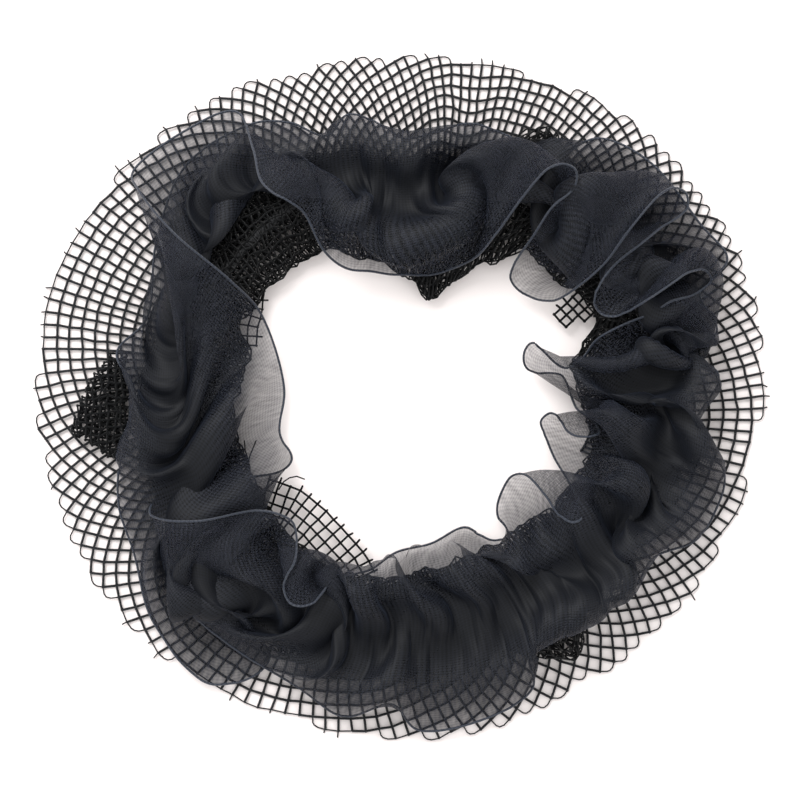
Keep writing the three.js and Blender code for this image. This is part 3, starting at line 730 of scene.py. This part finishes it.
def gathered(seam, across, line):
    # Each section is a smooth curve from the outer edge over the gathered line to the inner edge. The cloth
    # is longer than the line, so it waves up and down: the depth is the wave's length over pi, times the
    # root of what is too long. The waves are twice as long away from the line.
    outerEdge = edgeAt(outerFolds, seam)[0]
    innerEdge, belly, given = edgeAt(innerFolds, seam)
    outward = np.column_stack([circled(seam, 1.0), 0 * seam])
    up, side = np.array([0, 0, 1.0]), ribbon["outer"]
    outerMiddle = middleOf(line, outerEdge, side["width"], side["bulge"], up + side["lean"] * outward)
    innerMiddle = middleOf(line, innerEdge, ribbon["inner"]["width"], foldAt("bulge", seam),
                           up + foldAt("lean", seam) * outward)
    innerMiddle += given * (belly - innerMiddle)
    knots = [outerEdge, outerMiddle, line, innerMiddle, innerEdge]
    knots = [2 * knots[0] - knots[1]] + knots + [2 * knots[4] - knots[3]]
    places = np.interp(across, [across[0], 0, across[-1]], [0, 2, 4])
    smooth = np.stack([bend(*knots[k:k + 4], place - k)
                       for place, k in zip(places, np.minimum(places.astype(int), 3))], 1)
    step = np.linalg.norm(np.roll(smooth, -1, axis=0) - smooth, axis=2)
    longest = np.maximum(step[:, 0], step[:, -1])
    window = np.hanning(ribbon["evenOut"])
    cloth = np.convolve(np.pad(longest, len(window) // 2, mode="wrap"), window / window.sum(), mode="valid")
    cloth *= ribbon["length"] / cloth.sum()
    free = np.clip(np.minimum(across - across[0], across[-1] - across) / ribbon["edgeHold"], 0, 1)
    free = free * (1 - ribbon["seamTake"] * np.exp(-(across / ribbon["seamReach"]) ** 2))
    rest = np.maximum(step, step + (cloth[:, None] - step) * free)
    gone = np.cumsum(cloth) / cloth.sum()
    drift = ribbon["drift"] * ripple(gone, ribbon["driftWaves"], ribbon["seed"])
    wide = np.clip((np.abs(across) - ribbon["fewFrom"]) / ribbon["fewOver"], 0, 1)
    wave = 0
    for number, share in ((1, 1 - wide), (2, wide)):
        count = ribbon["pleats"] // number
        bow = ribbon["bow"] * across * ripple(gone, ribbon["bowWaves"], ribbon["seed"] + number)[:, None]
        swing = 2 * np.pi * (count * gone[:, None] + drift[:, None] + bow)
        wave = wave + share * ribbon["length"] / count * step / rest / np.pi * np.cos(swing)
    wave = wave * np.sqrt(np.maximum(rest / step - 1, 0))
    return smooth + normalsOf(smooth) * np.clip(wave, -ribbon["deepest"], ribbon["deepest"])[..., None], rest


def pairsOf(numbers, stepRound, stepAcross, group):
    # The pairs of one group: from every other run of rows or columns, as long as the step, to those a step
    # further on. No point is in two pairs of a group, so that all can be moved at once.
    rows, columns = numbers.shape
    i = np.arange(rows)
    if stepRound:
        i = i[(i // stepRound) % 2 == group]
    j = np.arange(max(-stepAcross, 0), columns - max(stepAcross, 0))
    if not stepRound:
        j = j[(j // stepAcross) % 2 == group]
    return numbers[i][:, j].ravel(), numbers[(i + stepRound) % rows][:, j + stepAcross].ravel()


def heapHeight(points):
    # How high the cloth lies at least: the lowest height, and over the bunched netting its top times its
    # arch, faded out at both rims.
    x, y = points[:, 0] - ringX, points[:, 1] - ringY
    angle, radius = np.degrees(np.arctan2(y, x)), np.hypot(x, y)
    inner = columnAt(gatherEdges, "inner", angle)
    outer = np.minimum(columnAt(gatherEdges, "outer", angle), ribbon["heapReach"])
    share = np.clip((radius - inner) / (outer - inner), 0, 1)
    rise = archOf(share) * np.clip(ribbon["heapRims"] * np.minimum(share, 1 - share), 0, 1)
    high = columnAt(gatherEdges, "top", angle) - bunched["lowest"]
    return ribbon["lowest"] + high * rise


def settled(grid, rest, across, line):
    # The sheet comes to rest: again and again each pair of neighbours is moved to its distance in the flat
    # cloth, while the edges are drawn back to where they were and the gathered line to its ring. Pairs
    # further apart are only pushed, which keeps the cloth from creasing. Then each point moves a little
    # towards the middle of its neighbours, a few times.
    rows, columns = grid.shape[:2]
    numbers = np.arange(rows * columns).reshape(rows, columns)
    points = grid.reshape(-1, 3).copy()
    free = np.ones((rows, columns))
    free[:, 0] = free[:, -1] = ribbon["edgeGive"]
    free = free.ravel()
    gaps = np.append(np.diff(across), 0)
    stiff = ribbon["stiffness"]
    kinds = table("along across share strength onlyPush", (1, 0, 1.0, 1.0, False), (0, 1, 1.0, 1.0, False),
                  (1, 1, 1.0, 0.25, False), (1, -1, 1.0, 0.25, False), (2, 0, 1.0, stiff, True),
                  (0, 2, 1.0, stiff, True), (4, 0, 0.92, stiff, True), (0, 4, 0.95, stiff, True),
                  (8, 0, 0.85, stiff, True))
    ties = []
    for kind in kinds:
        for group in (0, 1):
            a, b = pairsOf(numbers, kind["along"], kind["across"], group)
            width = kind["across"] * gaps[np.minimum(a % columns, b % columns)]
            length = kind["share"] * np.hypot(kind["along"] * rest[a // columns, a % columns], width)
            share = (free[a] / (free[a] + free[b]))[:, None]
            ties.append((a, b, length, kind["strength"], kind["onlyPush"], share))
    onLine = numbers[:, int(np.argmin(np.abs(across)))]
    edges = np.concatenate([numbers[:, 0], numbers[:, -1]])
    held = points[edges].copy()
    for turn in range(ribbon["settling"]):
        points[:, 2] -= ribbon["weight"] * free
        for a, b, length, strength, onlyPush, share in ties:
            offset = points[b] - points[a]
            far = np.maximum(np.sqrt(np.einsum("ij,ij->i", offset, offset)), 1e-6)
            change = strength * (far - length) / far
            if onlyPush:
                change = np.minimum(change, 0)
            move = offset * change[:, None]
            points[a] += move * share
            points[b] -= move * (1 - share)
        points[onLine] += ribbon["seamGrip"] * (line - points[onLine])
        points[edges] += ribbon["edgeGrip"] * (held - points[edges])
        if turn % ribbon["heapEvery"] == 0:
            least = heapHeight(points)
        points[:, 2] = np.maximum(points[:, 2], least)
    grid = points.reshape(grid.shape)
    for turn in range(ribbon["smoothing"]):
        around = 0.5 * (np.roll(grid, 1, axis=0) + np.roll(grid, -1, axis=0))[:, 1:-1]
        beside = 0.5 * (grid[:, 2:] + grid[:, :-2])
        grid[:, 1:-1] += (ribbon["smoothRound"] * (around - grid[:, 1:-1])
                          + ribbon["smoothAcross"] * (beside - grid[:, 1:-1]))
    return grid


def doubled(grid, around):
    # Twice as many points along the first axis: a new one between each two neighbours is nine sixteenths of
    # both, less one sixteenth of the next ones out.
    if around:
        before, start, end, after = (np.roll(grid, -k, axis=0) for k in (-1, 0, 1, 2))
        middle = (9 * (start + end) - before - after) / 16
        return np.stack([grid, middle], 1).reshape(-1, *grid.shape[1:])
    wide = np.concatenate([2 * grid[:1] - grid[1:2], grid, 2 * grid[-1:] - grid[-2:-1]])
    middle = (9 * (wide[1:-2] + wide[2:-1]) - wide[:-3] - wide[3:]) / 16
    both = np.stack([grid[:-1], middle], 1).reshape(-1, *grid.shape[1:])
    return np.concatenate([both, grid[-1:]])


def creased(grid, across):
    # Each row of gathers lifts the sheet: by its depth, times a bell curve of the place across over its
    # reach, times the size of a sine of the place round the ribbon, swayed and made uneven by smooth waves.
    gone = np.arange(len(grid)) / len(grid)
    lift = 0
    for row in creases:
        along, askew, uneven = (ripple(gone, creaseWaves[name], row["seed"] + k)[:, None]
                                for k, name in enumerate(("along", "askew", "uneven")))
        sway = row["sway"] * (along + creaseWaves["askewShare"] * across * askew)
        uneven = np.clip(creaseWaves["size"] + creaseWaves["sizeShare"] * uneven, 0, 1)
        ridge = np.abs(np.sin(np.pi * row["count"] * gone[:, None] + sway))
        lift = lift + row["depth"] * uneven * ridge * np.exp(-(across / row["reach"]) ** 2)
    return grid - normalsOf(grid) * lift[..., None]


def ribbonSheet():
    # The gathered sheet on a coarse grid, settled as cloth, made twice as fine both ways, and creased.
    rows = ribbon["stepsRound"]
    across = np.concatenate([np.linspace(-ribbon["outer"]["width"], 0, ribbon["outer"]["steps"] + 1)[:-1],
                             np.linspace(0, ribbon["inner"]["width"], ribbon["inner"]["steps"] + 1)])
    seam = -360 * np.arange(rows) / rows
    line = polar(seam, columnAt(seamRing, "radius", seam), columnAt(seamRing, "height", seam))
    grid, rest = gathered(seam, across, line)
    grid = settled(grid, rest, across, line)
    grid = doubled(grid, True)
    grid = doubled(grid.transpose(1, 0, 2), False).transpose(1, 0, 2)
    across = doubled(across, False)
    return creased(grid, across), across


def gridFaces(rows, columns, tube):
    # Four corners a face. The rows close on themselves, and a tube's columns do so too.
    i, j = np.indices((rows, columns if tube else columns - 1))
    here, after, beside = i * columns, (i + 1) % rows * columns, (j + 1) % columns
    return np.stack([here + j, here + beside, after + beside, after + j], -1).reshape(-1, 4)


def ringTube(path, side, radius, sides):
    # A tube along a closed path: each section is a circle square to the path, from a given side direction.
    along = unit(np.roll(path, -1, axis=0) - np.roll(path, 1, axis=0))
    side = unit(side - along * np.sum(side * along, axis=1, keepdims=True))
    points = path[:, None] + radius * circlesRound(along, side, sides)
    uv = np.stack([np.repeat(goneAlong(path), sides), np.tile(np.arange(sides) / sides, len(path))], 1)
    return points.reshape(-1, 3), gridFaces(len(path), sides, True), uv


# Polyamide organza: plain woven of fine stiff single filaments, dyed nearly black navy. The eye sees
# through one layer, with streaks where the filaments lie closer, and sees fine lit specks on dark folds,
# which its colour paints as painted highlights; the pleats by the gathered line get painted shade.
# Its yarns are 0.2 mm apart. They are drawn 0.55 mm apart and more, so that they show. Spacings, the
# streaks' size and the reach of the pleats are in millimetres of cloth.
organza = {
    "dark": "#050608", "lit": "#2a2d37", "spacing": (0.8, 0.55), "swing": (0.22, 0.28), "roughness": 0.6,
    "cover": {"least": 0.1, "weave": 0.22, "streaks": 0.56},
    "streak": {"size": (0.85, 5.5, 1.0), "turn": (0, 0, 0.6)},
    "cloud": {"scale": 420.0, "share": 0.5, "less": -0.2}, "litByWeave": 0.9, "relief": 0.06,
    "pleated": {"cover": 0.65, "reach": 15.0, "paintedShade": 0.8},
}


def organzaMaterial():
    # The weave is 1/2 plus shares of the sines of both places in the cloth over the spacing. The cloth
    # covers by its least, plus shares of the weave and of the streaks, and by more near the gathered line,
    # where it lies in small pleats: a bell curve of the place across. Its colour goes from dark to lit with
    # the weave and a little cloudy noise, as painted highlights on the filaments, and less so in the pleats,
    # as painted shade where they shade one another.
    material, shader = newMaterial("woven_organza", {
        "Roughness": organza["roughness"], "IOR": 1.53, "Specular IOR Level": 0.15,
        "Sheen Weight": 0.08, "Sheen Roughness": 0.4, "Sheen Tint": linearColour("#7f8fb0")})
    cloth, along, across = clothPlace(material)
    weave = 0.5
    for axis, spacing, swing in zip((along, across), organza["spacing"], organza["swing"]):
        sine = maths(material, "SINE", maths(material, "MULTIPLY", axis, 2 * np.pi / spacing))
        weave = maths(material, "MULTIPLY_ADD", sine, swing, weave)
    turned = addNode(material, "ShaderNodeMapping", {
        "vector_type": "TEXTURE", "Rotation": organza["streak"]["turn"], "Scale": organza["streak"]["size"]},
        {"Vector": cloth})
    streaks = addNode(material, "ShaderNodeTexNoise", {"Scale": 1.0, "Detail": 3.0},
                      {"Vector": turned.outputs[0]})
    cover, pleated, cloud = organza["cover"], organza["pleated"], organza["cloud"]
    woven = maths(material, "MULTIPLY_ADD", weave, cover["weave"], cover["least"])
    whole = maths(material, "MULTIPLY_ADD", streaks.outputs[0], cover["streaks"], woven, clamp=True)
    apart = maths(material, "MULTIPLY", across, 1 / pleated["reach"])
    square = maths(material, "MULTIPLY", apart, apart)
    bell = maths(material, "EXPONENT", maths(material, "MULTIPLY", square, -1.0))
    whole = maths(material, "MULTIPLY_ADD", bell, pleated["cover"], whole, clamp=True)
    clouds = addNoise(material, cloud["scale"], 4.0)
    mottle = maths(material, "MULTIPLY_ADD", clouds, cloud["share"], cloud["less"])
    # Painted highlights: the weave and the cloudy noise set how lit the filaments' colour is.
    lit = maths(material, "MULTIPLY_ADD", weave, organza["litByWeave"], mottle, clamp=True)
    # Painted shade: near the gathered line the lit share is cut down.
    shaded = maths(material, "MULTIPLY_ADD", bell, -pleated["paintedShade"], 1.0)
    material.node_tree.links.new(whole, shader.inputs["Alpha"])
    addColours(material, shader, organza["dark"], organza["lit"], maths(material, "MULTIPLY", lit, shaded))
    addRelief(material, shader, 0.5, organza["relief"], weave)
    return material


# Twisted polyester thread, rolled into both edges of the ribbon: a thin dark blue line with a soft shine.
edgeThread = {"colour": "#18202e", "stitch": 0.9, "roughness": 0.5, "relief": 0.1}


def edgeThreadMaterial():
    # The twist is a slanting ridge: the sine of whole turns of the place along over the stitch plus the place
    # around the thread.
    material, shader = newMaterial("rolled_edge_thread", {
        "Base Color": linearColour(edgeThread["colour"]), "Roughness": edgeThread["roughness"],
        "Sheen Weight": 0.12, "Sheen Roughness": 0.4})
    _, along, around = clothPlace(material)
    slant = maths(material, "MULTIPLY_ADD", along, 1 / edgeThread["stitch"], around)
    wave = maths(material, "SINE", maths(material, "MULTIPLY", slant, 2 * np.pi))
    addRelief(material, shader, 0.6, edgeThread["relief"], wave)
    return material


ribbonGrid, ribbonAcross = ribbonSheet()
steps = [np.linalg.norm(np.roll(ribbonGrid[:, j], -1, axis=0) - ribbonGrid[:, j], axis=1) for j in (0, -1)]
ribbonAlong = np.concatenate([[0], np.cumsum(0.5 * (steps[0] + steps[1]))[:-1]])
print("ribbon edges, mm:", round(steps[0].sum()), round(steps[1].sum()))
columns = len(ribbonAcross)
ribbonUv = np.stack([np.repeat(ribbonAlong, columns), np.tile(ribbonAcross, len(ribbonAlong))], 1)
ribbonPiece = makePiece("organza_ruffle", ribbonGrid.reshape(-1, 3),
                        gridFaces(len(ribbonAlong), columns, False), organzaMaterial(), ribbonUv)
edgeTubes = [ringTube(ribbonGrid[:, edge], ribbonGrid[:, edge] - ribbonGrid[:, inside], ribbon["edgeThread"],
                      ribbon["edgeSides"]) for edge, inside in ((0, 1), (-1, -2))]
edgePiece = makePiece("ruffle_edge_threads", *joined([tube[:2] for tube in edgeTubes]), edgeThreadMaterial(),
                      np.vstack([tube[2] for tube in edgeTubes]))
print("ribbon made")


def elasticMaterial():
    # Round elastic with a braided polyester cover, dyed black: slanting ribs 1.5 mm apart with a soft shine,
    # which are the bands of a wave texture.
    material, shader = newMaterial("braided_elastic_cover", {
        "Base Color": linearColour("#17181c"), "Roughness": 0.6, "Sheen Weight": 0.2})
    place = addNode(material, "ShaderNodeTexCoord")
    braid = addNode(material, "ShaderNodeTexWave", {
        "Scale": 420.0, "Distortion": 2.0, "bands_direction": "DIAGONAL"},
        {"Vector": place.outputs["Object"]})
    addRelief(material, shader, 0.6, 0.2, braid.outputs[1])
    return material


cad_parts["elastic_band"].material_slots[0].material = elasticMaterial()

# Each piece rides on the one body, and stands for its node.
for piece, slot, nodes in ((ribbonPiece, "organza_ribbon", ["ribbon_ruffle"]),
                           (edgePiece, "organza_ribbon", []),
                           (skirtPiece, "coarse_netting", ["net_skirt"]),
                           (bunchedPiece, "bunched_netting", ["net_gather"])):
    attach(piece, "root")
    if nodes:
        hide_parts(*nodes)

# A white floor, a white sky for soft light all round, and a soft lamp beyond the top of the picture. The
# lamp's size and place are in metres.
studio = {"floor": "#f2ebe9", "floorReach": 2000, "sky": 1.26,
          "lampPower": 15.0, "lampSize": 0.7, "lampAt": (-0.45, 0.8, 0.9)}


def makeStudio():
    # The lamp is turned from pointing down to pointing at the origin, by its tilt and then about the upright.
    material, _ = newMaterial("white_floor", {
        "Base Color": linearColour(studio["floor"]), "Roughness": 0.9, "Specular IOR Level": 0.0})
    corners = studio["floorReach"] * np.array([[-1.0, -1, 0], [1, -1, 0], [1, 1, 0], [-1, 1, 0]])
    floor = makePiece("floor", corners, np.array([[0, 1, 2, 3]]), material)
    world = bpy.data.worlds.new("studio")
    world.use_nodes = True
    world.node_tree.nodes["Background"].inputs["Color"].default_value = (1, 1, 1, 1)
    world.node_tree.nodes["Background"].inputs["Strength"].default_value = studio["sky"]
    bpy.context.scene.world = world
    lamp = bpy.data.lights.new("softbox", "AREA")
    lamp.energy, lamp.size = studio["lampPower"], studio["lampSize"]
    holder = bpy.data.objects.new("softbox", lamp)
    holder.location = studio["lampAt"]
    aim = -np.array(studio["lampAt"])
    holder.rotation_euler = (np.arctan2(np.hypot(aim[0], aim[1]), -aim[2]), 0, np.arctan2(-aim[0], aim[1]))
    bpy.context.scene.collection.objects.link(holder)
    bpy.context.scene.view_settings.view_transform = "Standard"


makeStudio()
print("studio made")
